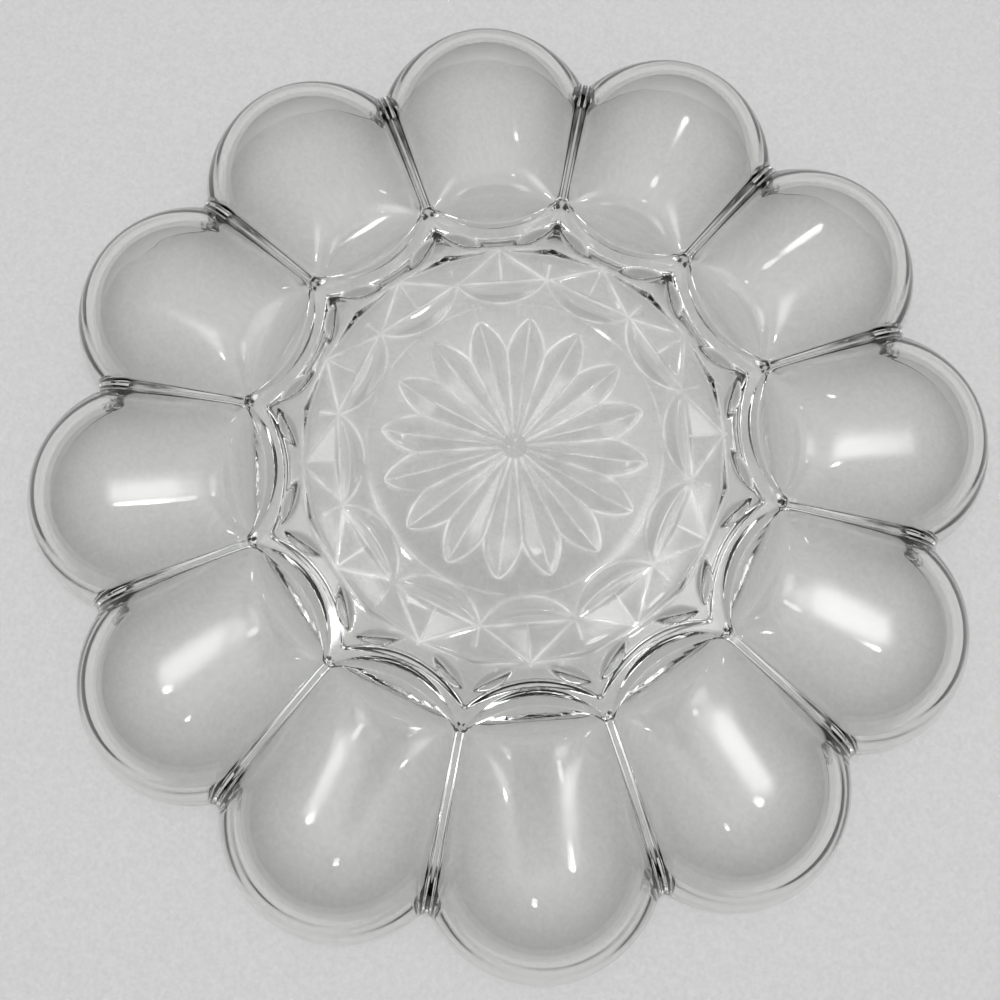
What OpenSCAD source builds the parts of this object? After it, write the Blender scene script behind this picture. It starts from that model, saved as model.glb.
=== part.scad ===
// Deviled egg platter of clear pressed glass: twelve egg cups in a ring round a shallow dish.
// The pressing is drawn zone by zone, each zone its own solid, meeting its neighbours face to face.
// Millimetres, +Z up, the origin in the middle of the foot on the table, hollows open upwards.

/* [Platter] */
// Diameter over the tips of the petals at the rim
platter_d = 260; // [254:1:270]
// Height of the rim above the table
platter_h = 35; // [34:0.5:38]
// Thickness of the glass in the egg cups
wall = 3; // [2.6:0.1:3.4]

/* [Egg cups] */
// Radius of a cup across its trough, on the underside
cup_r = 31; // [30.6:0.1:31.6]
// Gap between the lowest point of a cup and the table
cup_lift = 1.8; // [1.2:0.1:2.4]
// Lean of the outer wall out from the upright, in degrees
wall_lean = 21; // [17:1:24]
// Distance from the axis at which the cup's floor starts to rise inwards, top side
floor_rise_at = 80; // [78:0.5:82]
// Radius of that rise, top side
floor_rise_r = 21.6; // [20.5:0.1:23]
// Distance from the axis at which the cup's underside starts to rise inwards
under_rise_at = 84; // [82:0.5:86]
// Radius of that rise, underside
under_rise_r = 50.6; // [46:0.2:56]

/* [Crest] */
// Height of the crest between the cups and the dish
crest_h = 12.7; // [12:0.1:13.4]
// Distance from the axis to the seam between a cup and the dish, in the middle of a cup
seam_mid_r = 60; // [59:0.5:61]
// Distance from the axis to the same seam, between two cups
seam_corner_r = 66; // [65:0.5:67]

/* [Dish] */
// Radius of the dish's flat floor
dish_floor_r = 36; // [35.5:0.5:40]
// Height of the dish's floor above the table
dish_floor_h = 4.2; // [3.8:0.1:4.8]
// Radius at which the dish's wall reaches the crest
dish_top_r = 57.5; // [56.5:0.5:58.5]
// Rounding of the crest on its dish side
crest_round = 3; // [2:0.1:4]
// Distance from the axis to the edge of the arched groove under the crest
groove_edge_r = 53.3; // [52:0.1:54.5]
// Height of the underside at that edge
groove_edge_h = 4.2; // [3.6:0.1:4.8]
// Radius of the groove's arch, seen from below
groove_arch_r = 19.4; // [18.5:0.1:20.5]
// Height of the underside between two cups, at the tip of the arches
groove_tip_h = 5.4; // [5:0.1:6]

/* [Foot and star] */
// Radius of the flat foot that the platter stands on
foot_r = 34; // [33:0.5:36]
// Number of rays in the pressed star
star_rays = 16; // [12:2:18]
// Distance from the axis at which a ray starts
ray_start_r = 2.4; // [1.5:0.1:3]
// Distance from the axis to the round end of a ray
ray_end_r = 31; // [29:0.5:32]
// Greatest width of a ray
ray_w = 9; // [7:0.2:9.6]
// Greatest depth of a ray
ray_depth = 1.1; // [0.8:0.05:1.4]

/* [Fan band] */
// Distance from the axis to the apex of a fan
fan_apex_r = 51.6; // [50.5:0.1:52.4]
// Distance from the axis to the wing tips of a fan
fan_tip_r = 44.8; // [44:0.1:45.6]
// Distance from the axis to the low middle of a fan
fan_low_r = 42.6; // [42:0.1:43.4]
// Depth of a fan at its low middle
fan_depth = 1.1; // [0.8:0.05:1.4]
// Share of a cup's sector that a fan spans
fan_span_share = 0.96; // [0.85:0.01:0.98]
// How far under the glass the cutter's outer corners run out
fan_runout = 0.1; // [0.05:0.01:0.2]
// Distance from the axis to the middle of an oval print
oval_r = 39.4; // [39:0.1:39.8]
// Length of an oval print round the platter
oval_l = 17; // [14:0.5:18]
// Width of an oval print
oval_w = 4.6; // [3.6:0.1:5]
// Depth of an oval print
oval_depth = 0.7; // [0.5:0.05:0.9]

/* [Hidden] */
$fn = 96;

// Clear glass with a trace of grey green
GLASS = [0.80, 0.86, 0.84, 0.55];
CUP_COUNT = 12;
SECTOR = 360 / CUP_COUNT;
// Points on each arc of the dish's section
ARC_STEPS = 7;
// One overrun serves every cut
cut_over = 1;

platter_r = platter_d / 2;
cup_axis_h = cup_lift + cup_r;
// The outer end's centre, from which the leaning wall reaches the rim at the petal's tip
cup_end_x = platter_r - cup_r / cos(wall_lean) - (platter_h - cup_axis_h) * tan(wall_lean);
lean_l = 2 * platter_h;

// The dish's wall is a hollow arc that turns into the crest's rounding
dish_wall_rise = crest_h - dish_floor_h;
dish_wall_run = dish_top_r - dish_floor_r;
dish_wall_turn = 2 * atan(dish_wall_rise / dish_wall_run);
dish_wall_r = dish_wall_run / sin(dish_wall_turn) - crest_round;

// Each arched groove is a ball's cut: it runs through the edge, and meets the cup at the seam
groove_x = groove_edge_r + groove_arch_r;
seam_gap = groove_x - seam_mid_r;
seam_h = cup_lift + under_rise_r - sqrt(pow(under_rise_r, 2) - pow(under_rise_at - seam_mid_r, 2));
groove_ball_h = (pow(seam_gap, 2) - pow(groove_arch_r, 2) + pow(seam_h, 2) - pow(groove_edge_h, 2))
    / (2 * (seam_h - groove_edge_h));
groove_ball_r = sqrt(pow(groove_arch_r, 2) + pow(groove_edge_h - groove_ball_h, 2));

// A ray is cut by a cone whose round end is a ball
ray_half_w = ray_w / 2;
ray_ball_r = (pow(ray_half_w, 2) + pow(ray_depth, 2)) / (2 * ray_depth);
ray_ball_at = ray_end_r - ray_half_w;
ray_ball_drop = ray_ball_r - ray_depth;
ray_run = ray_ball_at - ray_start_r;
ray_axis_l = sqrt(pow(ray_run, 2) + pow(ray_ball_drop, 2));
ray_tilt = atan(ray_ball_drop / ray_run);
ray_taper = asin(ray_ball_r / ray_axis_l);
ray_cone_l = ray_axis_l * pow(cos(ray_taper), 2);
ray_cone_r = ray_ball_r * cos(ray_taper);

// An oval print is the common part of two equal rounds, pressed square into the sloping underside
oval_arc_r = (pow(oval_l / 2, 2) + pow(oval_w / 2, 2)) / oval_w;
oval_arc_at = oval_arc_r - oval_w / 2;
under_slope = atan(groove_edge_h / (groove_edge_r - foot_r));

// Height of the dish's underside at a distance from the axis
function under_h(r) = r < groove_edge_r
    ? groove_edge_h * (r - foot_r) / (groove_edge_r - foot_r)
    : groove_edge_h + (groove_tip_h - groove_edge_h) * (r - groove_edge_r) / (seam_corner_r - groove_edge_r);

// A point at a distance from the axis and an angle from the middle of a cup
function polar(r, angle) = [r * cos(angle), r * sin(angle)];

// The 24 corners of the seam between the dish and the cups
seam_corners = [
    for (i = [0 : 2 * CUP_COUNT - 1])
        polar(i % 2 == 0 ? seam_mid_r : seam_corner_r, i * SECTOR / 2)
];

module seam_prism() {
    translate([0, 0, -cut_over])
        linear_extrude(platter_h + 2 * cut_over)
            polygon(seam_corners);
}

module sector_wedge() {
    reach = platter_d;
    translate([0, 0, -cut_over])
        linear_extrude(platter_h + cut_over)
            polygon([[0, 0], polar(reach, -SECTOR / 2), polar(reach, SECTOR / 2)]);
}

// The trough, its round outer end and the leaning outer wall, at one radius
module cup_form(r) {
    translate([0, 0, cup_axis_h])
        rotate([0, 90, 0])
            cylinder(r = r, h = cup_end_x);
    translate([cup_end_x, 0, cup_axis_h]) {
        sphere(r = r);
        rotate([0, wall_lean, 0])
            cylinder(r = r, h = lean_l);
    }
}

// The space outside the rise at a cup's inner end: above a crosswise round, and all beyond its low line
module rise_limit(rise_at, rise_r, low) {
    translate([rise_at, 0, low + rise_r])
        rotate([90, 0, 0])
            cylinder(r = rise_r, h = platter_d, center = true);
    translate([rise_at, -platter_r, low - cut_over])
        cube([platter_d, platter_d, 2 * platter_h + rise_r]);
}

// What is cut away over the crest, so that the cups' inner ends stop at its height
module crest_trim() {
    trim_l = platter_h - crest_h + cut_over;
    translate([0, 0, crest_h])
        cylinder(r1 = seam_corner_r, r2 = seam_corner_r + trim_l, h = trim_l);
}

module egg_cup(index) {
    color(GLASS)
        rotate([0, 0, index * SECTOR])
            difference() {
                intersection() {
                    cup_form(cup_r);
                    rise_limit(under_rise_at, under_rise_r, cup_lift);
                    sector_wedge();
                }
                intersection() {
                    cup_form(cup_r - wall);
                    rise_limit(floor_rise_at, floor_rise_r, cup_lift + wall);
                }
                seam_prism();
                crest_trim();
            }
}

// Half section of the dish, from the foot's edge out past the seam
module dish_section() {
    reach = seam_corner_r + cut_over;
    hollow = [
        for (i = [0 : ARC_STEPS]) let (a = dish_wall_turn * i / ARC_STEPS)
            [dish_floor_r + dish_wall_r * sin(a), dish_floor_h + dish_wall_r * (1 - cos(a))]
    ];
    crest = [
        for (i = [ARC_STEPS - 1 : -1 : 0]) let (a = dish_wall_turn * i / ARC_STEPS)
            [dish_top_r - crest_round * sin(a), crest_h - crest_round * (1 - cos(a))]
    ];
    top = concat([[foot_r, dish_floor_h]], hollow, crest, [[reach, crest_h]]);
    bottom = [[reach, under_h(reach)], [groove_edge_r, groove_edge_h], [foot_r, 0]];
    polygon(concat(top, bottom));
}

// The solid that cuts one fan: two wings that meet along a middle line, deepest at the low middle.
// Its outer corners stay just under the glass, so that each wing runs out to nothing
module fan_cut() {
    tip = polar(fan_tip_r, fan_span_share * SECTOR / 2);
    apex_h = under_h(fan_apex_r) - fan_runout;
    tip_h = under_h(fan_tip_r) - fan_runout;
    low_h = under_h(fan_low_r) + fan_depth;
    base_h = under_h(fan_low_r) - cut_over;
    points = [
        [fan_apex_r, 0, apex_h],
        [tip[0], tip[1], tip_h],
        [fan_low_r, 0, low_h],
        [tip[0], -tip[1], tip_h],
        [fan_apex_r, 0, base_h],
        [tip[0], tip[1], base_h],
        [fan_low_r, 0, base_h],
        [tip[0], -tip[1], base_h]
    ];
    faces = [
        [0, 2, 1], [0, 3, 2],
        [0, 1, 5, 4], [1, 2, 6, 5], [2, 3, 7, 6], [3, 0, 4, 7],
        [4, 5, 6, 7]
    ];
    polyhedron(points = points, faces = faces);
}

// The solid that cuts one oval print
module oval_cut() {
    translate([oval_r, 0, under_h(oval_r)])
        rotate([0, -under_slope, 0])
            translate([0, 0, -cut_over])
                linear_extrude(cut_over + oval_depth)
                    intersection() {
                        translate([oval_arc_at, 0])
                            circle(r = oval_arc_r);
                        translate([-oval_arc_at, 0])
                            circle(r = oval_arc_r);
                    }
}

module centre_dish() {
    color(GLASS)
        difference() {
            intersection() {
                rotate_extrude()
                    dish_section();
                seam_prism();
            }
            for (i = [0 : CUP_COUNT - 1])
                rotate([0, 0, i * SECTOR]) {
                    translate([groove_x, 0, groove_ball_h])
                        sphere(r = groove_ball_r);
                    fan_cut();
                    oval_cut();
                }
        }
}

// The round-ended cone that cuts one ray of the star
module ray_cut() {
    translate([ray_start_r, 0, 0])
        rotate([0, 90 + ray_tilt, 0])
            cylinder(r1 = 0, r2 = ray_cone_r, h = ray_cone_l);
    translate([ray_ball_at, 0, -ray_ball_drop])
        sphere(r = ray_ball_r);
}

module star_base() {
    color(GLASS)
        difference() {
            cylinder(r = foot_r, h = dish_floor_h);
            for (i = [0 : star_rays - 1])
                rotate([0, 0, (i + 0.5) * 360 / star_rays])
                    ray_cut();
        }
}

egg_cup(0);  // egg_cup_01
egg_cup(1);  // egg_cup_02
egg_cup(2);  // egg_cup_03
egg_cup(3);  // egg_cup_04
egg_cup(4);  // egg_cup_05
egg_cup(5);  // egg_cup_06
egg_cup(6);  // egg_cup_07
egg_cup(7);  // egg_cup_08
egg_cup(8);  // egg_cup_09
egg_cup(9);  // egg_cup_10
egg_cup(10);  // egg_cup_11
egg_cup(11);  // egg_cup_12
centre_dish();
star_base();
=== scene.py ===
"""Deviled egg platter of clear pressed glass.

The photograph shows the platter lying upside down on a pale table, rim down and star up. The row's
frame keeps it the way it is used, cups open upwards, so here the camera looks up at the star from
below and the table is the plane that the rim rests against.
"""

import logging
import math
from dataclasses import dataclass, field
from enum import Enum
from typing import Any, Sequence

import bmesh
import bpy
import numpy as np
from mathutils import Matrix, Vector

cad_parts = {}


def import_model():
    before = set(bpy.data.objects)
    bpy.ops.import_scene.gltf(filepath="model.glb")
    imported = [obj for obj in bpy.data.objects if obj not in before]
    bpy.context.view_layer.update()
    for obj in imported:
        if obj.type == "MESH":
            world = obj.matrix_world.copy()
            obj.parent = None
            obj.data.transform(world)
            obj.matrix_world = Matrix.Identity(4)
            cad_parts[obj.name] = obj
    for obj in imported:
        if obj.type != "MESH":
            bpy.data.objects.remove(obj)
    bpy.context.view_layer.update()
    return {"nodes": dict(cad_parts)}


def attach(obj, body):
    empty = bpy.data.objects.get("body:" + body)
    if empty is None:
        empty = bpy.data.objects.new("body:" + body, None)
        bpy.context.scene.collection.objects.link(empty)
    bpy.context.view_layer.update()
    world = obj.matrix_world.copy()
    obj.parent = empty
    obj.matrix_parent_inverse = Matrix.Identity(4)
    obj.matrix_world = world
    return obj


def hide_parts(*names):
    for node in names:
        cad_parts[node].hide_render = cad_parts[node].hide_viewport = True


logging.basicConfig(level=logging.INFO, format="%(message)s")
LOG = logging.getLogger("egg_platter")

Array = np.ndarray
MM = 0.001
# A height that never wins where the higher of two skins is taken
FAR_BELOW = -90.0
# Thickness at which the rim's lip is a plain round, and how round and how square it may get
LIP_THICKNESS = 1.55
LIP_POWERS = (2.0, 5.0)
# How far the lip leans out, as a share of its height
LIP_BULGE = 0.3


def smooth_max(a: Array, b: Array, blend: float) -> Array:
    """Larger of two heights, with the crease between them rounded.

    Args:
        a: First height.
        b: Second height.
        blend: Size of the rounding.

    Returns:
        The blended height, never under either input and equal to one of them off the crease.
    """
    reach = 2.0 * blend
    share = np.clip(0.5 + 0.5 * (a - b) / reach, 0.0, 1.0)
    return b + (a - b) * share + reach * share * (1.0 - share)


def smooth_min(a: Array, b: Array, blend: float) -> Array:
    """Smaller of two heights, with the crease between them rounded."""
    return -smooth_max(-a, -b, blend)


def turned(x: Array, y: Array, degrees: float) -> tuple[Array, Array]:
    """Plan coordinates seen from a sector that is turned about the axis.

    Args:
        x: Distances out along the cup's middle.
        y: Distances across it.
        degrees: Turn of the other sector.

    Returns:
        The same points in the other sector's own x and y.
    """
    c, s = math.cos(math.radians(degrees)), math.sin(math.radians(degrees))
    return x * c + y * s, -x * s + y * c


class Skin(Enum):
    """The two moulded skins of the pressing."""

    UNDER = "underside"
    TOP = "top side"


@dataclass(frozen=True)
class CupForm:
    """One egg cup: a trough with a round outer end and a flared outer wall, in millimetres."""

    rim_h: float = 35.0
    wall: float = 3.0
    heel_r: float = 31.0
    lift: float = 1.8
    end_x: float = 94.25
    flare_lean: float = 34.7
    flare_r: float = 89.7
    drift: float = 4.65
    drift_from: float = 19.0
    drift_power: float = 1.4
    ceiling: float = 62.0
    halvings: int = 34

    def half_width(self, z: Array, inset: float) -> Array:
        """Half width of the trough at a height.

        Args:
            z: Heights over the table.
            inset: How far the skin lies inside the outer one.

        Returns:
            Half widths, nought under the skin's lowest point.
        """
        lean = math.radians(self.flare_lean)
        r = self.heel_r - inset
        f = z - self.lift
        heel = np.sqrt(np.maximum(r**2 - (self.heel_r - f) ** 2, 0.0))
        mid_w = (self.heel_r - self.flare_r) * math.cos(lean)
        mid_f = self.heel_r + (self.flare_r - self.heel_r) * math.sin(lean)
        flare = mid_w + np.sqrt(np.maximum((self.flare_r - inset) ** 2 - (f - mid_f) ** 2, 0.0))
        heel = np.where(f < inset, 0.0, heel)
        return np.where(f < self.heel_r - r * math.sin(lean), heel, flare)

    def drift_at(self, z: Array) -> Array:
        """How far the round end's middle has moved outwards at a height."""
        share = np.maximum(z - self.drift_from, 0.0) / (self.rim_h - self.drift_from)
        return self.drift * share**self.drift_power

    def height(self, x: Array, y: Array, inset: float) -> Array:
        """Height of the cup's skin over plan points, found by halving.

        Args:
            x: Distances out along the cup's middle.
            y: Distances across it.
            inset: How far the skin lies inside the outer one.

        Returns:
            Heights, up to the ceiling.
        """
        low = np.full_like(x, self.lift + inset)
        high = np.full_like(x, self.ceiling)
        for _ in range(self.halvings):
            mid = 0.5 * (low + high)
            moved = self.drift_at(mid)
            out = np.hypot(np.maximum(x - self.end_x - moved, 0.0), y)
            under = out > self.half_width(mid, inset) - moved
            low = np.where(under, mid, low)
            high = np.where(under, high, mid)
        return 0.5 * (low + high)


@dataclass(frozen=True)
class PatternForm:
    """The pressed leaves and fans on the underside of the dish, in millimetres.

    Every leaf lies under a cup, with its tips at the two ridges beside it. The fans spread from
    these tips to the edge of the dish, each in four mitred facets.
    """

    half_sector: float = 15.0
    hub_r: float = 42.0
    leaf_inner_r: float = 35.0
    leaf_outer_r: float = 41.0
    leaf_inner_slope: float = 0.42
    leaf_outer_slope: float = 0.62
    leaf_round: float = 0.45
    fan_edge_r: float = 50.0
    fan_end_r: float = 51.0
    fan_end_depth: float = 1.5
    fan_top_depth: float = 1.3
    fan_wall_slope: float = 1.3
    fan_round: float = 0.1
    almond_from: tuple[float, float] = (51.0, 4.2)
    almond_to: tuple[float, float] = (57.0, 14.2)
    almond_half_w: float = 1.7
    almond_slope: float = 1.75
    edge: float = 0.12

    def hub(self) -> tuple[float, float]:
        """Plan point at which two leaves and a fan meet."""
        turn = math.radians(self.half_sector)
        return self.hub_r * math.cos(turn), self.hub_r * math.sin(turn)

    def inside(self, x: Array, y: Array, a: Sequence[float], b: Sequence[float]) -> Array:
        """Distance to the left of the line from a to b."""
        run = (b[0] - a[0], b[1] - a[1])
        length = math.hypot(*run)
        return (run[0] * (y - a[1]) - run[1] * (x - a[0])) / length

    def within_arc(self, x: Array, y: Array, top_x: float) -> Array:
        """Distance inside the arc from hub to hub whose top lies at top_x."""
        hub_x, hub_y = self.hub()
        rise = hub_x - top_x
        radius = (hub_y**2 + rise**2) / (2.0 * rise)
        away = np.hypot(x - top_x - radius, y)
        return radius - away if radius > 0.0 else away + radius

    def leaf(self, x: Array, y: Array) -> Array:
        """Depth of a leaf, hollow between its two arcs."""
        inner = self.leaf_inner_slope * self.within_arc(x, y, self.leaf_inner_r)
        outer = -self.leaf_outer_slope * self.within_arc(x, y, self.leaf_outer_r)
        return smooth_min(inner, outer, self.leaf_round)

    def fan(self, x: Array, y: Array) -> Array:
        """Depth of a fan's facets, which fall away on both sides of a line from the hub."""
        side = np.abs(y)
        turn = math.radians(self.half_sector)
        hub = self.hub()
        top = (self.leaf_outer_r, 0.0)
        mid = (self.fan_edge_r, 0.0)
        end = (self.fan_end_r * math.cos(turn), self.fan_end_r * math.sin(turn))
        at = self.inside(x, side, mid, hub)
        at_end = float(self.inside(np.array(end[0]), np.array(end[1]), mid, hub))
        at_top = float(self.inside(np.array(top[0]), np.array(top[1]), mid, hub))
        facet = np.maximum(self.fan_end_depth * at / at_end, self.fan_top_depth * at / at_top)
        edge = self.fan_wall_slope * self.inside(x, side, mid, end)
        start = self.fan_wall_slope * self.inside(x, side, hub, top)
        return smooth_min(facet, smooth_min(edge, start, self.fan_round), self.fan_round)

    def almond(self, x: Array, y: Array) -> Array:
        """Depth of the two pointed ovals that flank each ridge outside the fans."""
        ends = []
        for r, turn in (self.almond_from, self.almond_to):
            ends.append((r * math.cos(math.radians(turn)), r * math.sin(math.radians(turn))))
        (ax, ay), (bx, by) = ends
        length = math.hypot(bx - ax, by - ay)
        radius = (0.25 * length**2 + self.almond_half_w**2) / (2.0 * self.almond_half_w)
        shift = radius - self.almond_half_w
        inside = np.full_like(x, radius)
        for sign in (-1.0, 1.0):
            cx = 0.5 * (ax + bx) - sign * shift * (by - ay) / length
            cy = 0.5 * (ay + by) + sign * shift * (bx - ax) / length
            inside = np.minimum(inside, radius - np.hypot(x - cx, np.abs(y) - cy))
        return self.almond_slope * inside

    def depth(self, x: Array, y: Array) -> Array:
        """Depth pressed into the underside over plan points of one sector."""
        cut = np.maximum(np.maximum(self.leaf(x, y), self.fan(x, y)), self.almond(x, y))
        return smooth_max(cut, np.zeros_like(x), self.edge)


@dataclass(frozen=True)
class PlatterForm:
    """Both skins of the whole pressing as heights over plan points, in millimetres."""

    cup: CupForm = field(default_factory=CupForm)
    pattern: PatternForm = field(default_factory=PatternForm)
    sector: float = 30.0
    sectors: int = 12
    under_rise_at: float = 81.0
    under_rise_r: float = 34.0
    floor_rise_at: float = 73.0
    floor_rise_r: float = 11.0
    rise_share: float = 0.9999
    rise_steep: float = 3.0
    rise_round: float = 1.0
    cup_crease: float = 0.1
    under_round: float = 0.25
    crest_h: float = 12.7
    crest_open_r: float = 66.5
    crest_open_slope: float = 1.0
    ridge_half_w: float = 0.8
    valley_half_w: float = 1.3
    strip_round: float = 0.15
    foot_r: float = 34.0
    foot_round: float = 0.25
    base_h: float = 0.0
    web_r: float = 51.2
    web_h: float = 3.74
    groove_x: float = 80.1
    groove_h: float = -10.8
    groove_ball_r: float = 28.4
    groove_round: float = 0.12
    tip_r: float = 65.4
    tip_h: float = 5.4
    tip_slope: float = 1.3
    tip_round: float = 0.5
    floor_h: float = 4.2
    floor_r: float = 36.0
    knee_r: float = 51.3
    knee_rise: float = 2.2
    knee_round: float = 0.3
    wall_foot: float = 26.6
    wall_slope: float = 0.9
    wall_bend: float = 0.7
    cusp_round: float = 0.5
    ramp_slope: float = 0.14
    bead_h: float = 0.65
    bead_half_w: float = 1.2
    crest_round: float = 0.5
    seam_mid_r: float = 60.0
    seam_corner_r: float = 66.0
    calm_r: float = 5.0
    search_from: float = 85.0
    search_to: float = 140.0
    halvings: int = 30

    def near_sectors(self, x: Array, y: Array) -> list[tuple[Array, Array]]:
        """Plan points seen from the sector about +X and from its two neighbours."""
        return [turned(x, y, turn) for turn in (0.0, self.sector, -self.sector)]

    def rise(self, x: Array, at: float, radius: float, low: float) -> Array:
        """Height of the crosswise round at a cup's inner end."""
        reach = self.rise_share * radius
        run = np.clip(at - x, 0.0, reach)
        over = np.maximum(at - x - reach, 0.0)
        return low + radius - np.sqrt(radius**2 - run**2) + self.rise_steep * over

    def cups(self, x: Array, y: Array, inset: float) -> Array:
        """Skin of a cup and its two neighbours, met in a rounded crease.

        Args:
            x: Distances out along the middle cup.
            y: Distances across it.
            inset: How far the skin lies inside the outer one.

        Returns:
            Heights of the joined cups.
        """
        outer = inset == 0.0
        at = self.under_rise_at if outer else self.floor_rise_at
        radius = self.under_rise_r if outer else self.floor_rise_r
        low = self.cup.lift + inset
        skins = []
        for u, v in self.near_sectors(x, y):
            trough = self.cup.height(u, v, inset)
            skins.append(smooth_max(trough, self.rise(u, at, radius, low), self.rise_round))
        return smooth_min(skins[0], np.minimum(skins[1], skins[2]), self.cup_crease)

    def cone(self, r: Array) -> Array:
        """Underside of the foot and the cone round it, with a rounded crease."""
        slope = (self.web_h - self.base_h) / (self.web_r - self.foot_r)
        return smooth_max(slope * (r - self.foot_r), np.zeros_like(r), self.foot_round)

    def plateau(self, x: Array, y: Array) -> Array:
        """Underside of the dish: its cone, arched grooves and points between the cups."""
        r = np.hypot(x, y)
        far = (self.tip_h - self.web_h) / (self.tip_r - self.web_r)
        skin = np.where(r < self.web_r, self.cone(r), self.web_h + far * (r - self.web_r))
        skin = smooth_max(skin, self.tip_h + self.tip_slope * (r - self.tip_r), self.tip_round)
        for u, v in self.near_sectors(x, y):
            gap = self.groove_ball_r**2 - (u - self.groove_x) ** 2 - v**2
            dome = self.groove_h + np.sqrt(np.maximum(gap, 0.0))
            skin = smooth_max(skin, np.where(gap > 0.0, dome, FAR_BELOW), self.groove_round)
        return skin + np.where(r < self.seam_mid_r, self.pattern.depth(x, y), 0.0)

    def hollow(self, x: Array, y: Array) -> Array:
        """Top side of the dish: flat floor, shallow bowl and a steep wall of twelve arcs."""
        away = [np.hypot(u - self.groove_x, v) for u, v in self.near_sectors(x, y)]
        near = smooth_min(away[0], np.minimum(away[1], away[2]), self.cusp_round)
        r = np.hypot(x, y)
        share = np.maximum(r - self.floor_r, 0.0) / (self.knee_r - self.floor_r)
        past = smooth_max(r - self.knee_r, np.zeros_like(r), self.knee_round)
        bowl = self.floor_h + self.knee_rise * share**2 + self.ramp_slope * past
        out = np.maximum(self.wall_foot - near, 0.0)
        return bowl + self.wall_slope * out + self.wall_bend * out**2

    def beside_ridge(self, x: Array, y: Array, half_w: float) -> tuple[Array, Array]:
        """Plan points kept a little off the planes of the ridges between the cups.

        Args:
            x: Distances out along the middle of the cup.
            y: Distances across it.
            half_w: Half the width of the flat strip along each ridge.

        Returns:
            The moved points, which leave the strip level across.
        """
        r = np.maximum(np.hypot(x, y), self.calm_r)
        turn = np.arctan2(y, x)
        half = math.radians(0.5 * self.sector)
        off = r * np.sin(half - np.abs(turn))
        off = smooth_max(off, np.full_like(off, half_w), self.strip_round)
        turn = np.sign(turn) * (half - np.arcsin(np.clip(off / r, -1.0, 1.0)))
        return r * np.cos(turn), r * np.sin(turn)

    def bead(self, x: Array, y: Array) -> Array:
        """Height of the rounded bead along each ridge between two cups."""
        half = math.radians(0.5 * self.sector)
        off = np.hypot(x, y) * np.sin(half - np.abs(np.arctan2(y, x)))
        return self.bead_h * np.maximum(1.0 - (off / self.bead_half_w) ** 2, 0.0) ** 2

    def height(self, skin: Skin, x: Array, y: Array) -> Array:
        """Height of one skin over plan points of the sector about +X.

        Args:
            skin: Which of the two skins.
            x: Distances out along the middle of the cup.
            y: Distances across it.

        Returns:
            Heights over the table in millimetres.
        """
        if skin is Skin.UNDER:
            u, v = self.beside_ridge(x, y, self.valley_half_w)
            return smooth_min(self.cups(u, v, 0.0), self.plateau(x, y), self.under_round)
        r = np.hypot(x, y)
        u, v = self.beside_ridge(x, y, self.ridge_half_w)
        wells = self.cups(u, v, self.cup.wall) + self.bead(x, y)
        lid = self.crest_h + self.crest_open_slope * np.maximum(r - self.crest_open_r, 0.0)
        return smooth_min(np.minimum(self.hollow(x, y), wells), lid, self.crest_round)

    def edge_radius(self, skin: Skin, turn: Array, level: float) -> Array:
        """Distance from the axis at which a skin reaches a level, by halving.

        Args:
            skin: Which of the two skins.
            turn: Angles from the cup's middle, in radians.
            level: Height looked for.

        Returns:
            One distance for each angle.
        """
        low = np.full_like(turn, self.search_from)
        high = np.full_like(turn, self.search_to)
        for _ in range(self.halvings):
            mid = 0.5 * (low + high)
            above = self.height(skin, mid * np.cos(turn), mid * np.sin(turn)) > level
            high = np.where(above, mid, high)
            low = np.where(above, low, mid)
        return 0.5 * (low + high)

    def seam_radius(self, turn: Array) -> Array:
        """Distance from the axis to the seam between cup and dish at each angle."""
        half = math.radians(self.sector / 2)
        cx = self.seam_corner_r * math.cos(half)
        cy = self.seam_corner_r * math.sin(half)
        side = np.abs(np.sin(turn))
        return self.seam_mid_r * cy / (cy * np.cos(turn) - (cx - self.seam_mid_r) * side)


@dataclass(frozen=True)
class StarForm:
    """The pressed star: leaf-ended mitre cuts in the base, in millimetres."""

    rays: int = 16
    turn: float = 11.25
    tip_r: float = 31.2
    wide_r: float = 21.0
    half_w: float = 4.55
    swell: float = 0.8
    taper: float = 0.75
    facet_slope: float = 0.40
    centre_w: float = 0.3
    edge: float = 0.12

    def depth(self, r: Array, angle: Array) -> Array:
        """Depth of the star's cuts.

        Args:
            r: Distances from the axis.
            angle: Angles in degrees in the row's frame.

        Returns:
            Depths pressed up into the base.
        """
        pitch = 360.0 / self.rays
        off = (angle - self.turn + 0.5 * pitch) % pitch - 0.5 * pitch
        across = r * np.abs(np.sin(np.radians(off)))
        inner = np.clip(r / self.wide_r, 0.0, 1.0)
        outer = np.clip((r - self.wide_r) / (self.tip_r - self.wide_r), 0.0, 1.0)
        swelling, tapering = inner**self.swell, (1.0 - outer**2) ** self.taper
        width = self.half_w * np.where(r < self.wide_r, swelling, tapering)
        cut = self.facet_slope * (width + self.centre_w * (1.0 - outer) - across)
        cut = cut - np.maximum(r - self.tip_r, 0.0)
        return smooth_max(cut, np.zeros_like(r), self.edge)


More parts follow.
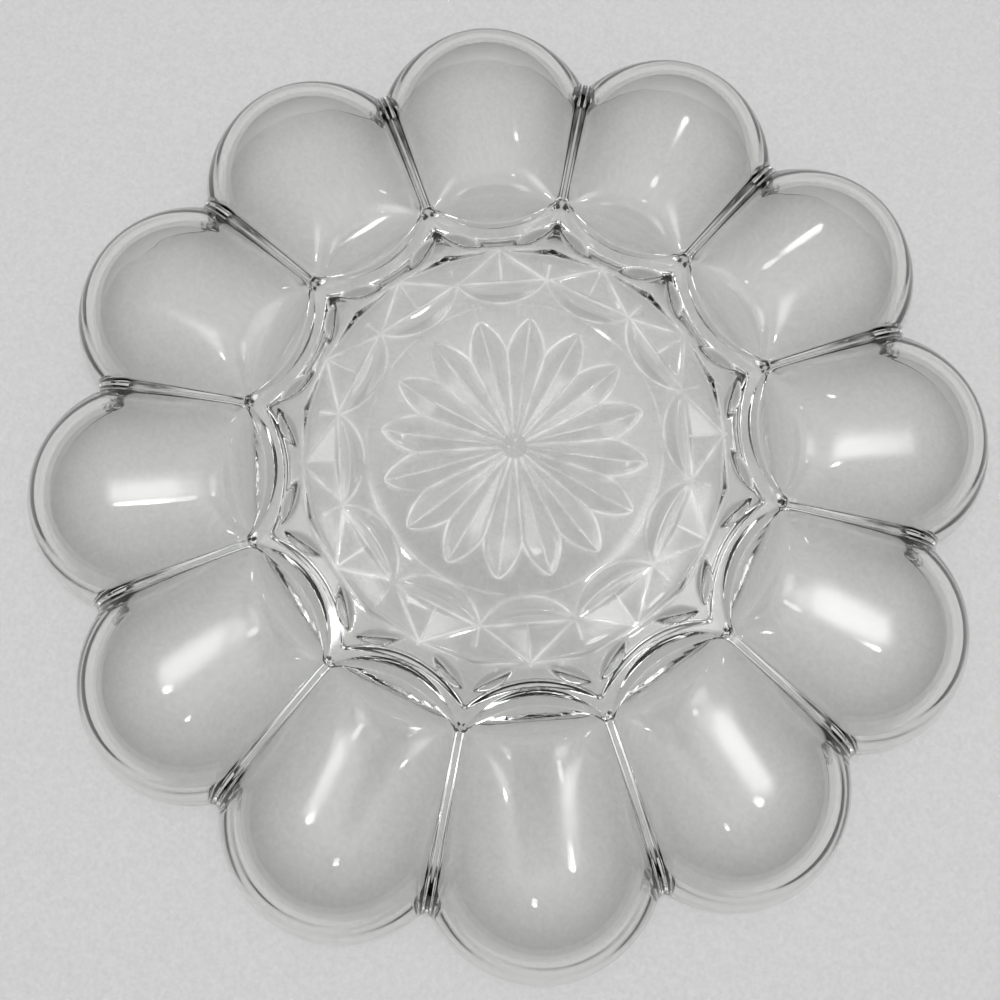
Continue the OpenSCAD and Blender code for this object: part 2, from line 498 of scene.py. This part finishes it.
def new_mesh_object(name: str, size_x: int, size_y: int) -> bpy.types.Object:
    """A flat grid primitive that a skin is shaped from.

    Args:
        name: Name of the piece.
        size_x: Faces along the grid.
        size_y: Faces across it.

    Returns:
        The grid's object, the only one selected.
    """
    if bpy.context.mode != "OBJECT":
        bpy.ops.object.mode_set(mode="OBJECT")
    bpy.ops.object.select_all(action="DESELECT")
    bpy.ops.mesh.primitive_grid_add(x_subdivisions=size_x, y_subdivisions=size_y, size=1.0)
    obj = bpy.context.object
    obj.name = name
    obj.data.name = name
    return obj


def new_board(
    name: str, size: float, at: Sequence[float], finish: bpy.types.Material
) -> bpy.types.Object:
    """A flat square board, facing up, with its place in its mesh."""
    bpy.ops.object.select_all(action="DESELECT")
    bpy.ops.mesh.primitive_plane_add(size=size, location=(0, 0, 0))
    obj = bpy.context.object
    obj.name = name
    obj.data.transform(Matrix.Translation(at))
    obj.data.materials.append(finish)
    return obj


def set_points(obj: bpy.types.Object, points: Array) -> None:
    """Moves a mesh's vertices to points given in millimetres."""
    obj.data.vertices.foreach_set("co", (points * MM).astype(np.float32).ravel())
    obj.data.update()


def sharpen_joints(bm: bmesh.types.BMesh) -> None:
    """Keeps the smooth shading of the skins clear of the joint faces.

    Args:
        bm: Mesh whose joint faces are on slot 1.
    """
    for edge in bm.edges:
        if len({face.material_index for face in edge.link_faces}) > 1:
            edge.smooth = False


def closed_object(name: str, bm: bmesh.types.BMesh) -> bpy.types.Object:
    """Turns the faces of a closed mesh outwards and puts it in the scene.

    Args:
        name: Name of the piece.
        bm: The mesh, which is freed.

    Returns:
        The piece's object.
    """
    bmesh.ops.recalc_face_normals(bm, faces=bm.faces[:])
    sharpen_joints(bm)
    mesh = bpy.data.meshes.new(name)
    bm.to_mesh(mesh)
    bm.free()
    obj = bpy.data.objects.new(name, mesh)
    bpy.context.scene.collection.objects.link(obj)
    return obj


def join_rows(bm: bmesh.types.BMesh, a: Sequence, b: Sequence, joint: bool) -> None:
    """Makes the faces between two rows of vertices that run round the axis.

    Args:
        bm: The mesh.
        a: Vertices of one row.
        b: Vertices of the next.
        joint: Whether the faces are joint faces, on slot 1 and flat.
    """
    for j in range(len(a)):
        k = (j + 1) % len(a)
        face = bm.faces.new((a[j], a[k], b[k], b[j]))
        face.material_index = int(joint)
        face.smooth = not joint


def lip(outer: Array, inner: Array, steps: int, lift: float) -> tuple[Array, Array]:
    """Cross-section points of the rounded rim, between the two skins' edges.

    Args:
        outer: Distances to the outer skin's edge, one for each column.
        inner: Distances to the inner skin's edge.
        steps: Rows over the lip, ends left out.
        lift: Height of the rounding.

    Returns:
        Distances and added heights, one row for each step.
    """
    half = 0.5 * (outer - inner)
    mid = 0.5 * (outer + inner)
    power = np.clip(2.0 * half / LIP_THICKNESS, *LIP_POWERS)
    rows_r, rows_z = [], []
    for i in range(1, steps + 1):
        a = math.pi * i / (steps + 1)
        c, s = math.cos(a), math.sin(a)
        across = half * np.sign(c) * abs(c) ** (2.0 / power)
        rows_r.append(mid + across + LIP_BULGE * s * lift)
        rows_z.append(lift * s ** (2.0 / power))
    return np.array(rows_r), np.array(rows_z)


class Node:
    """Wraps a shader socket, so that shader maths reads as plain arithmetic."""

    def __init__(self, tree: bpy.types.NodeTree, socket: Any) -> None:
        """Keeps the tree and the output socket."""
        self.tree = tree
        self.socket = socket

    def _math(self, operation: str, a: Any, b: Any) -> "Node":
        """Adds one Math node for an operator."""
        node = self.tree.nodes.new("ShaderNodeMath")
        node.operation = operation
        for i, value in enumerate((a, b)):
            if isinstance(value, Node):
                self.tree.links.new(value.socket, node.inputs[i])
            else:
                node.inputs[i].default_value = value
        return Node(self.tree, node.outputs[0])

    def __add__(self, other: Any) -> "Node":
        """Sum."""
        return self._math("ADD", self, other)

    __radd__ = __add__

    def __mul__(self, other: Any) -> "Node":
        """Product."""
        return self._math("MULTIPLY", self, other)

    __rmul__ = __mul__

    def __sub__(self, other: Any) -> "Node":
        """Difference."""
        return self._math("SUBTRACT", self, other)

    def __rsub__(self, other: Any) -> "Node":
        """Difference, reflected."""
        return self._math("SUBTRACT", other, self)

    def __truediv__(self, other: Any) -> "Node":
        """Quotient."""
        return self._math("DIVIDE", self, other)

    def __pow__(self, other: Any) -> "Node":
        """Power."""
        return self._math("POWER", self, other)

    def __abs__(self) -> "Node":
        """Size without sign."""
        return self._math("ABSOLUTE", self, 0.0)

    def over(self, other: Any) -> "Node":
        """One where this is greater than the other, else nought."""
        return self._math("GREATER_THAN", self, other)

    def least(self, other: Any) -> "Node":
        """The smaller of the two."""
        return self._math("MINIMUM", self, other)

    def most(self, other: Any) -> "Node":
        """The larger of the two."""
        return self._math("MAXIMUM", self, other)

    def turn_from(self, x: "Node") -> "Node":
        """Angle in radians of the point (x, this)."""
        return self._math("ARCTAN2", self, x)

    def folded(self, half: float) -> "Node":
        """Runs up to half and back again, over and over."""
        return self._math("PINGPONG", self, half)

    def sine(self) -> "Node":
        """Sine of an angle in radians."""
        return self._math("SINE", self, 0.0)

    def cosine(self) -> "Node":
        """Cosine of an angle in radians."""
        return self._math("COSINE", self, 0.0)

    def line(self, width: float) -> "Node":
        """One where this distance is nought, fading out over the width."""
        return ((self / width) ** 2.0).fade()

    def fade(self) -> "Node":
        """Falls smoothly from one towards nought as this grows."""
        return self._math("EXPONENT", 0.0 - self, 0.0)


class Shader:
    """A material or world under construction."""

    def __init__(self, owner: Any) -> None:
        """Starts an empty node tree on a material or world."""
        owner.use_nodes = True
        self.tree = owner.node_tree
        self.tree.nodes.clear()

    def add(self, kind: str, **sockets: Any) -> bpy.types.Node:
        """Adds a node.

        Args:
            kind: Blender's node type.
            **sockets: Socket names, underscores for spaces, with values or links.

        Returns:
            The new node.
        """
        node = self.tree.nodes.new(kind)
        for key, value in sockets.items():
            self.plug(node, key.replace("_", " "), value)
        return node

    def plug(self, node: bpy.types.Node, name: str | int, value: Any) -> None:
        """Sets or links one socket."""
        socket = node.inputs[name]
        if isinstance(value, Node):
            self.tree.links.new(value.socket, socket)
        elif isinstance(value, bpy.types.NodeSocket):
            self.tree.links.new(value, socket)
        else:
            socket.default_value = value

    def out(self, node: bpy.types.Node, name: str | int = 0) -> Node:
        """An output of a node, ready for arithmetic."""
        return Node(self.tree, node.outputs[name])

    def axes(self, place: bpy.types.Node, kind: str) -> tuple[Node, Node, Node]:
        """X, Y and Z of one kind of texture coordinate."""
        parts = self.add("ShaderNodeSeparateXYZ", Vector=place.outputs[kind])
        return self.out(parts, "X"), self.out(parts, "Y"), self.out(parts, "Z")

    def noise(self, place: bpy.types.Node, scale: float, detail: float) -> Node:
        """Noise fixed to the object."""
        where = place.outputs["Object"]
        return self.out(self.add("ShaderNodeTexNoise", Vector=where, Scale=scale, Detail=detail))

    def bump(self, height: Node, share: float, depth: float) -> Node:
        """Normal of a surface that is raised by a height."""
        return self.out(self.add("ShaderNodeBump", Strength=share, Distance=depth, Height=height))

    def mixed(self, share: Any, a: bpy.types.Node, b: bpy.types.Node) -> bpy.types.Node:
        """Mixes two shaders, the second one by the share."""
        mix = self.add("ShaderNodeMixShader")
        self.plug(mix, 0, share)
        self.plug(mix, 1, a.outputs[0])
        self.plug(mix, 2, b.outputs[0])
        return mix

    def surface(self, shader: bpy.types.Node, kind: str = "ShaderNodeOutputMaterial") -> None:
        """Sends a shader to the output."""
        self.plug(self.add(kind), "Surface", shader.outputs[0])


@dataclass(frozen=True)
class PaintedEdgeHighlights:
    """Painted highlight lines along the mitred edges of the star, the leaves and the fans, where
    such edges would catch the light.
    """

    star: StarForm = field(default_factory=StarForm)
    pattern: PatternForm = field(default_factory=PatternForm)
    ring_r: float = 34.6
    ring_share: float = 0.5
    # Width of the painted highlight line, and width and strength of the faint painted glow beside
    # it
    width: float = 0.30
    glow_width: float = 1.5
    glow: float = 0.33
    outline_from: float = 18.0
    between_from: float = 3.0
    between_to: float = 22.0
    middle_from: float = 6.0
    middle_share: float = 0.45
    band_from: float = 33.0
    fan_middle_share: float = 0.7
    fan_edge_share: float = 0.6
    fan_edge_lean: float = 0.056
    # Noise that breaks the painted highlight lines up unevenly along their length
    breakup_scale: float = 140.0
    breakup_detail: float = 1.0
    breakup_gain: float = 2.6
    breakup_drop: float = 0.65
    breakup_least: float = 0.12
    top: float = 3.7

    def edge(self, away: Node) -> Node:
        """A painted highlight line with a faint painted glow beside it, where the distance is
        nought.
        """
        return away.line(self.width) + self.glow * away.line(self.glow_width)

    def star_lines(self, r: Node, angle: Node) -> Node:
        """Outlines of the star's rays, the edges between them and their middles."""
        form = self.star
        half = math.pi / form.rays
        off = (angle - math.radians(form.turn)).folded(half)
        across = r * off.sine()
        inner = (r / form.wide_r) ** form.swell
        outer = ((r - form.wide_r) / (form.tip_r - form.wide_r)).most(0.0).least(1.0)
        width = form.half_w * inner.least((1.0 - outer * outer) ** form.taper)
        outline = self.edge(across - width) * r.over(self.outline_from)
        between = self.edge((half - off) * r)
        between = between * (1.0 - r.over(self.between_to)) * r.over(self.between_from)
        middle = self.middle_share * self.edge(across) * r.over(self.middle_from)
        return outline.most(between).most(middle) * (1.0 - r.over(form.tip_r))

    def band_lines(self, r: Node, angle: Node) -> Node:
        """Arcs of the leaves, mitres and outer edge of the fans, and the ring round the star."""
        form = self.pattern
        half = math.radians(form.half_sector)
        off = angle.folded(half)
        x, y = r * off.cosine(), r * off.sine()
        hub_x, hub_y = form.hub()
        rise = hub_x - form.leaf_inner_r
        radius = (hub_y**2 + rise**2) / (2.0 * rise)
        away = ((x - (form.leaf_inner_r + radius)) ** 2.0 + y * y) ** 0.5
        inner = self.edge(away - radius) * (1.0 - x.over(hub_x))
        outer = self.edge(x - form.leaf_outer_r)
        long = math.hypot(form.fan_edge_r - hub_x, hub_y)
        mitre = (x - form.fan_edge_r) * (hub_y / long) + y * ((form.fan_edge_r - hub_x) / long)
        mitre = self.edge(mitre) * x.over(hub_x)
        edge = self.edge(x - form.fan_edge_r + self.fan_edge_lean * y)
        rib = self.edge((half - off) * r) * r.over(form.hub_r)
        middle = self.edge(y) * x.over(form.leaf_outer_r)
        fan = mitre.most(rib).most(self.fan_middle_share * middle)
        fan = fan * (1.0 - r.over(form.fan_end_r))
        ring = self.ring_share * (r - self.ring_r).line(self.width)
        lines = inner.most(outer).most(fan).most(self.fan_edge_share * edge).most(ring)
        return lines * r.over(self.band_from)

    def share(self, sh: Shader, place: bpy.types.Node) -> Node:
        """How much the painted edge highlight whitens the glass at each point.

        Args:
            sh: Material under construction.
            place: Its texture coordinates.

        Returns:
            Nought off the edges, one on them.
        """
        x, y, z = (axis / MM for axis in sh.axes(place, "Object"))
        r = (x * x + y * y) ** 0.5
        angle = y.turn_from(x)
        lines = self.star_lines(r, angle).most(self.band_lines(r, angle))
        highlight_breakup = sh.noise(place, self.breakup_scale, self.breakup_detail)
        uneven = highlight_breakup * self.breakup_gain - self.breakup_drop
        uneven = uneven.most(self.breakup_least).least(1.0)
        return lines.least(1.0) * uneven * (1.0 - z.over(self.top))


@dataclass(frozen=True)
class ClearGlass:
    """Clear pressed glass with a trace of grey green.

    Steep walls are painted a little deeper in tone, as painted shade, and cut edges carry painted
    white highlight lines.
    """

    tint: tuple[float, float, float] = (0.985, 0.990, 0.968)
    # How much darker steep walls are painted: painted shade
    steep_shade_depth: float = 0.15
    ior: float = 1.5
    roughness: float = 0.0
    wave_scale: float = 45.0
    wave_detail: float = 2.0
    wave_share: float = 0.04
    wave_depth: float = 0.0006
    highlight_tone: float = 0.97
    highlight_share: float = 0.50

    def build(self, name: str, edges: PaintedEdgeHighlights | None = None) -> bpy.types.Material:
        """Makes the material.

        Args:
            name: Name of the material.
            edges: Painted highlight lines along the cut edges, for the zones that have them.

        Returns:
            The finished glass.
        """
        mat = bpy.data.materials.new(name)
        sh = Shader(mat)
        place = sh.add("ShaderNodeTexCoord")
        wave = sh.noise(place, self.wave_scale, self.wave_detail)
        # Painted shade: the base colour is darkened where the surface is steep
        upright = sh.axes(place, "Normal")[2]
        steep = (1.0 - upright * upright) ** 2.0
        keep = 1.0 - steep * self.steep_shade_depth
        red, green, blue = self.tint
        tone = sh.add(
            "ShaderNodeCombineColor", Red=keep * red, Green=keep * green, Blue=keep * blue
        )
        glass = sh.add(
            "ShaderNodeBsdfPrincipled",
            Base_Color=tone.outputs[0],
            Roughness=self.roughness,
            IOR=self.ior,
            Normal=sh.bump(wave, self.wave_share, self.wave_depth),
        )
        glass.inputs["Transmission Weight"].default_value = 1.0
        if edges is None:
            sh.surface(glass)
            return mat
        # Painted highlight: a white matte layer is mixed into the glass along the cut edges
        white = (self.highlight_tone, self.highlight_tone, self.highlight_tone, 1.0)
        painted_highlight = sh.add("ShaderNodeBsdfPrincipled", Base_Color=white, Roughness=1.0)
        sh.surface(sh.mixed(edges.share(sh, place) * self.highlight_share, glass, painted_highlight))
        return mat


@dataclass(frozen=True)
class OpenJoint:
    """Lets light straight through where two zones of the one pressing meet."""

    def build(self) -> bpy.types.Material:
        """Makes the material."""
        mat = bpy.data.materials.new("joint_face")
        sh = Shader(mat)
        clear = sh.add("ShaderNodeBsdfPrincipled", Alpha=0.0, Roughness=1.0)
        clear.inputs["Specular IOR Level"].default_value = 0.0
        sh.surface(clear)
        return mat


@dataclass
class GlassZone:
    """What every zone of the pressing shares: its form, its finishes and its columns."""

    form: PlatterForm
    glass: bpy.types.Material
    joint: bpy.types.Material
    half_columns: int = 32
    crowd: float = 0.7
    lip_lift: float = 1.5
    lip_steps: int = 9
    samples: int = 4000

    def columns(self) -> Array:
        """Angles of one sector's columns in radians, crowded towards the ridges."""
        t = np.linspace(-1.0, 1.0, 2 * self.half_columns + 1)
        share = (1.0 - self.crowd) * t + self.crowd * np.sin(0.5 * math.pi * t)
        return np.radians(0.5 * self.form.sector * share)

    def columns_about(self) -> Array:
        """Angles of all the sectors' columns in radians, once round the axis."""
        one = self.columns()[:-1]
        return np.concatenate(
            [one + math.radians(i * self.form.sector) for i in range(self.form.sectors)]
        )

    def even_rows(self, skin: Skin, start: float, end: float, rows: int) -> Array:
        """Shares from start to end with equal lengths along the cup's middle.

        Args:
            skin: Which of the two skins.
            start: First distance from the axis.
            end: Last distance from the axis.
            rows: Number of rows.

        Returns:
            Shares from nought to one, one for each row.
        """
        r = np.linspace(start, end, self.samples)
        z = self.form.height(skin, r, np.zeros_like(r))
        length = np.concatenate([[0.0], np.cumsum(np.hypot(np.diff(r), np.diff(z)))])
        at = np.interp(np.linspace(0.0, length[-1], rows), length, r)
        return (at - start) / (end - start)

    def dress(self, obj: bpy.types.Object, node: str) -> bpy.types.Object:
        """Gives a zone its two finishes, its place on the body and its CAD node, and logs it.

        Args:
            obj: The zone's object, joint faces already on slot 1.
            node: CAD node that it stands for.

        Returns:
            The same object.
        """
        obj.data.materials.append(self.glass)
        obj.data.materials.append(self.joint)
        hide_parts(node)
        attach(obj, "root")
        LOG.info("%s: %d faces", obj.name, len(obj.data.polygons))
        return obj


@dataclass
class EggCups(GlassZone):
    """The ring of egg cups, one closed piece for each petal."""

    rows: int = 120

    def section(self) -> tuple[Array, Array, Array]:
        """One petal's skin as rows from the seam under the cup, over the rim and back.

        Returns:
            Distances, angles and heights, rows by columns.
        """
        form = self.form
        turn = self.columns()
        level = form.cup.rim_h - self.lip_lift
        seam = form.seam_radius(turn)
        edges = [form.edge_radius(s, turn, level) for s in (Skin.UNDER, Skin.TOP)]
        skins = []
        for skin, edge in zip((Skin.UNDER, Skin.TOP), edges):
            middle = edge[len(edge) // 2]
            share = self.even_rows(skin, form.seam_mid_r, float(middle), self.rows)
            r = seam[None, :] + (edge - seam)[None, :] * share[:, None]
            z = np.minimum(form.height(skin, r * np.cos(turn), r * np.sin(turn)), level)
            skins.append((r, z))
        over_r, over_z = lip(edges[0], edges[1], self.lip_steps, self.lip_lift)
        r = np.vstack([skins[0][0], over_r, skins[1][0][::-1]])
        z = np.vstack([skins[0][1], level + over_z, skins[1][1][::-1]])
        return r, np.broadcast_to(turn[None, :], r.shape), z

    def build(self) -> list[bpy.types.Object]:
        """Makes the petals, shaped from one grid each.

        Returns:
            One object for each cup.
        """
        r, turn, z = self.section()
        made = []
        for i in range(self.form.sectors):
            name = f"egg_cup_{i + 1:02d}"
            angle = turn + math.radians(i * self.form.sector)
            points = np.stack([r * np.cos(angle), r * np.sin(angle), z], axis=-1)
            obj = new_mesh_object(f"pressed_{name}", r.shape[1] - 1, r.shape[0] - 1)
            set_points(obj, points.reshape(-1, 3))
            self.close_petal(obj, r.shape)
            made.append(self.dress(obj, name))
        return made

    def close_petal(self, obj: bpy.types.Object, shape: tuple[int, int]) -> None:
        """Closes a petal's inner end and its two sides, each flat side one face.

        Args:
            obj: The petal's skin.
            shape: Its rows and columns.
        """
        rows, cols = shape
        mesh = obj.data
        before = len(mesh.polygons)
        bm = bmesh.new()
        bm.from_mesh(mesh)
        bm.verts.ensure_lookup_table()
        at = bm.verts
        last = (rows - 1) * cols
        for c in range(cols - 1):
            bm.faces.new((at[c], at[c + 1], at[last + c + 1], at[last + c]))
        for c in (0, cols - 1):
            bm.faces.new([at[row * cols + c] for row in range(rows)])
        bm.faces.ensure_lookup_table()
        bmesh.ops.recalc_face_normals(bm, faces=bm.faces[:])
        for face in bm.faces:
            joint = face.index >= before
            face.material_index = int(joint)
            face.smooth = not joint
        sharpen_joints(bm)
        bm.to_mesh(mesh)
        bm.free()


@dataclass
class CentreDish(GlassZone):
    """The dish's wall, its crest and the patterned band under it."""

    under_rows: int = 80
    top_rows: int = 44
    under_knee: tuple[float, float] = (0.2, 0.31)
    top_knee: tuple[float, float] = (0.28, 0.62)

    def shares(self, rows: int, knee: tuple[float, float]) -> Array:
        """Shares from nought to one for the rows, more closely spaced past the knee."""
        return np.interp(np.linspace(0.0, 1.0, rows), (0.0, knee[0], 1.0), (0.0, knee[1], 1.0))

    def build(self) -> bpy.types.Object:
        """Makes the ring from rows of points that run round the axis."""
        form = self.form
        sector = self.columns()
        seam = form.seam_radius(sector)
        rows_r, rows_z = [], []
        under = self.shares(self.under_rows, self.under_knee)
        top = self.shares(self.top_rows, self.top_knee)
        for skin, share in ((Skin.UNDER, under), (Skin.TOP, top[::-1])):
            r = form.foot_r + (seam - form.foot_r)[None, :] * share[:, None]
            z = form.height(skin, r * np.cos(sector), r * np.sin(sector))
            if skin is Skin.UNDER:
                z[0, :] = form.cone(form.foot_r * np.ones(1))
            else:
                z[-1, :] = form.floor_h
            rows_r.append(r)
            rows_z.append(z)
        r = np.tile(np.vstack(rows_r)[:, :-1], (1, form.sectors))
        z = np.tile(np.vstack(rows_z)[:, :-1], (1, form.sectors))
        angle = self.columns_about()[None, :]
        points = np.stack([r * np.cos(angle), r * np.sin(angle), z], axis=-1)
        bm = bmesh.new()
        verts = [[bm.verts.new(Vector(p) * MM) for p in row] for row in points]
        for i, row in enumerate(verts):
            join_rows(bm, verts[i - 1], row, i in (0, self.under_rows))
        return self.dress(closed_object("pressed_centre_dish", bm), "centre_dish")


@dataclass
class StarBase(GlassZone):
    """The middle of the base: the flat foot with the star, and the dish's floor over it."""

    star: StarForm = field(default_factory=StarForm)
    under_rows: int = 84
    top_rows: int = 6

    def build(self) -> bpy.types.Object:
        """Makes the disc, with one vertex at each pole."""
        form, star = self.form, self.star
        share = np.linspace(0.0, 1.0, self.under_rows + 1)[1:]
        r = form.foot_r * share
        angle = np.degrees(self.columns_about())
        rr, aa = np.meshgrid(r, angle, indexing="ij")
        z = form.cone(rr) + star.depth(rr, aa)
        z[-1, :] = form.cone(form.foot_r * np.ones(1))
        top_r = form.foot_r * np.linspace(1.0, 0.0, self.top_rows + 1)[:-1]
        tr, ta = np.meshgrid(top_r, angle, indexing="ij")
        r_all = np.vstack([rr, tr])
        a_all = np.radians(np.vstack([aa, ta]))
        z_all = np.vstack([z, np.full_like(tr, form.floor_h)])
        points = np.stack([r_all * np.cos(a_all), r_all * np.sin(a_all), z_all], axis=-1)
        pole = form.base_h + float(star.depth(np.array([0.0]), np.array([0.0]))[0])
        bm = bmesh.new()
        low = bm.verts.new((0.0, 0.0, pole * MM))
        high = bm.verts.new((0.0, 0.0, form.floor_h * MM))
        verts = [[bm.verts.new(Vector(p) * MM) for p in row] for row in points]
        for j in range(len(angle)):
            k = (j + 1) % len(angle)
            bm.faces.new((low, verts[0][k], verts[0][j])).smooth = True
            bm.faces.new((high, verts[-1][j], verts[-1][k])).smooth = True
        for i in range(1, len(verts)):
            join_rows(bm, verts[i - 1], verts[i], i == self.under_rows)
        return self.dress(closed_object("pressed_star_base", bm), "star_base")


@dataclass
class Table:
    """The pale table that the rim lies against, seen from its front only."""

    height: float = 35.02
    size: float = 6.0
    lit_radius: float = 0.30
    colour: float = 0.59
    mottle: float = 0.16
    own_light: float = 0.645
    own_share: float = 0.4
    roughness: float = 0.55
    grain_scale: float = 900.0
    grain_detail: float = 3.0
    grain_share: float = 0.35
    grain_depth: float = 0.0004

    def finish(self) -> bpy.types.Material:
        """Pale board with a faint grain and a little light of its own; its back is clear."""
        mat = bpy.data.materials.new("pale_table")
        sh = Shader(mat)
        place = sh.add("ShaderNodeTexCoord")
        x, y, _ = sh.axes(place, "Object")
        grain = sh.noise(place, self.grain_scale, self.grain_detail)
        grainy = grain * self.mottle - 0.5 * self.mottle
        lit = sh.add("ShaderNodeEmission", Strength=1.0, Color=grainy + self.own_light)
        board = sh.add(
            "ShaderNodeBsdfPrincipled",
            Base_Color=grainy + self.colour,
            Roughness=self.roughness,
            Normal=sh.bump(grain, self.grain_share, self.grain_depth),
        )
        clear = sh.add("ShaderNodeBsdfTransparent")
        side = sh.add("ShaderNodeNewGeometry")
        path = sh.add("ShaderNodeLightPath")
        through = sh.out(path, "Is Transmission Ray") + sh.out(path, "Is Glossy Ray")
        far = (x * x + y * y).over(self.lit_radius**2)
        seen = sh.out(path, "Is Camera Ray") + through * (1.0 - far)
        hidden = 1.0 - (1.0 - sh.out(side, "Backfacing")) * seen
        sh.surface(sh.mixed(hidden, sh.mixed(self.own_share, board, lit), clear))
        return mat

    def build(self) -> bpy.types.Object:
        """Makes the board, facing down at the platter."""
        at = (0.0, 0.0, self.height * MM)
        obj = new_board("table", self.size, at, self.finish())
        obj.data.flip_normals()
        return obj


@dataclass
class LensCard:
    """A dark soft-edged card behind the lens, which only the glass mirrors and bends."""

    centre: tuple[float, float, float] = (0.0082, -0.044, -0.206)
    half_w: float = 0.055
    half_h: float = 0.095
    size: float = 0.40
    tone: float = 0.02
    squareness: float = 4.0

    def finish(self) -> bpy.types.Material:
        """Black in the middle, clear at the edges and for every ray but the glass's own."""
        mat = bpy.data.materials.new("dark_card")
        sh = Shader(mat)
        x, y, _ = sh.axes(sh.add("ShaderNodeTexCoord"), "Object")
        across = abs((x - self.centre[0]) / self.half_w) ** self.squareness
        along = abs((y - self.centre[1]) / self.half_h) ** self.squareness
        path = sh.add("ShaderNodeLightPath")
        glass_rays = sh.out(path, "Is Transmission Ray") + sh.out(path, "Is Glossy Ray")
        camera = sh.out(path, "Is Camera Ray")
        shown = (across + along).fade() * glass_rays * (1.0 - camera)
        black = (self.tone, self.tone, self.tone, 1.0)
        card = sh.add("ShaderNodeBsdfPrincipled", Base_Color=black, Roughness=1.0)
        sh.surface(sh.mixed(shown, sh.add("ShaderNodeBsdfTransparent"), card))
        return mat

    def build(self) -> bpy.types.Object:
        """Makes the card."""
        obj = new_board("lens_card", self.size, self.centre, self.finish())
        return obj


@dataclass(frozen=True)
class SoftWindow:
    """A soft-edged patch of light in the world, by the direction that it lies in."""

    x: float
    y: float
    wide: float
    high: float
    level: float
    under: bool = True


@dataclass
class Studio:
    """The world's light and the photograph's camera."""

    horizon: float = 0.03
    slopes: float = 0.50
    slopes_from: float = 0.40
    slopes_power: float = 4.0
    zenith: float = 1.35
    zenith_power: float = 5.0
    background: float = 0.8
    squareness: float = 3.0
    windows: tuple[SoftWindow, ...] = (
        SoftWindow(-0.34, -0.04, 0.12, 0.17, 5.0),
        SoftWindow(0.35, 0.03, 0.09, 0.14, 4.0),
        SoftWindow(-0.34, -0.04, 0.14, 0.17, 2.5, under=False),
        SoftWindow(0.35, 0.20, 0.10, 0.14, 2.0, under=False),
    )
    glints: tuple[SoftWindow, ...] = (
        SoftWindow(-0.30, -0.26, 0.020, 0.020, 120.0),
        SoftWindow(0.36, -0.12, 0.020, 0.020, 120.0),
        SoftWindow(-0.30, 0.50, 0.020, 0.020, 30.0),
        SoftWindow(0.12, -0.60, 0.020, 0.020, 90.0),
    )
    sensor_width: float = 36.0
    lens: float = 31.02
    clip: tuple[float, float] = (0.01, 20.0)
    camera_at: tuple[float, float, float] = (0.00820, -0.04395, -0.19562)
    camera_turn: tuple[float, float, float] = (-170.828, 0.469, -175.851)

    def world(self) -> None:
        """Soft light, brightest overhead and underneath, with soft windows in it."""
        world = bpy.data.worlds.new("studio")
        bpy.context.scene.world = world
        sh = Shader(world)
        x, y, z = sh.axes(sh.add("ShaderNodeTexCoord"), "Generated")
        over, under = z.over(0.0), 1.0 - z.over(0.0)
        raised = 1.0 - (abs(z / self.slopes_from) ** self.slopes_power).fade()
        level = self.horizon + self.slopes * raised + self.zenith * abs(z) ** self.zenith_power
        for window in self.windows:
            across = abs((x - window.x) / window.wide) ** self.squareness
            along = abs((y - window.y) / window.high) ** self.squareness
            side = under if window.under else over
            level = level + window.level * side * (across + along).fade()
        path = sh.add("ShaderNodeLightPath")
        mirrored = sh.out(path, "Is Glossy Ray")
        for glint in self.glints:
            near = ((x - glint.x) / glint.wide) ** 2.0 + ((y - glint.y) / glint.high) ** 2.0
            level = level + glint.level * under * mirrored * near.fade()
        camera = sh.out(path, "Is Camera Ray")
        strength = level * (1.0 - camera) + self.background * camera
        back = sh.add("ShaderNodeBackground", Color=(1.0, 1.0, 1.0, 1.0), Strength=strength)
        sh.surface(back, "ShaderNodeOutputWorld")

    def camera(self) -> None:
        """The photograph's camera, worked out from the rim's notches, the ridges and the ring."""
        data = bpy.data.cameras.new("photo_camera")
        data.sensor_width = self.sensor_width
        data.lens = self.lens
        data.clip_start, data.clip_end = self.clip
        obj = bpy.data.objects.new("photo_camera", data)
        bpy.context.scene.collection.objects.link(obj)
        obj.location = self.camera_at
        obj.rotation_euler = [math.radians(angle) for angle in self.camera_turn]
        bpy.context.scene.camera = obj

    def build(self) -> None:
        """Sets everything up."""
        self.world()
        self.camera()


def main() -> None:
    """Builds the platter zone by zone and the table and studio round it."""
    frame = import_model()
    LOG.info("CAD nodes: %s", ", ".join(sorted(frame["nodes"])))
    scene = bpy.context.scene
    scene.view_settings.view_transform = "Standard"
    form = PlatterForm()
    glass = ClearGlass().build("clear_glass_skin")
    # The patterned zones get deeper painted shade on steep walls and painted highlight lines along
    # their cut edges
    cut_glass = ClearGlass(steep_shade_depth=0.60).build("cut_glass_skin", PaintedEdgeHighlights())
    joint = OpenJoint().build()
    EggCups(form, glass, joint).build()
    CentreDish(form, cut_glass, joint).build()
    StarBase(form, cut_glass, joint).build()
    Table().build()
    LensCard().build()
    Studio().build()


if __name__ == "__main__":
    main()
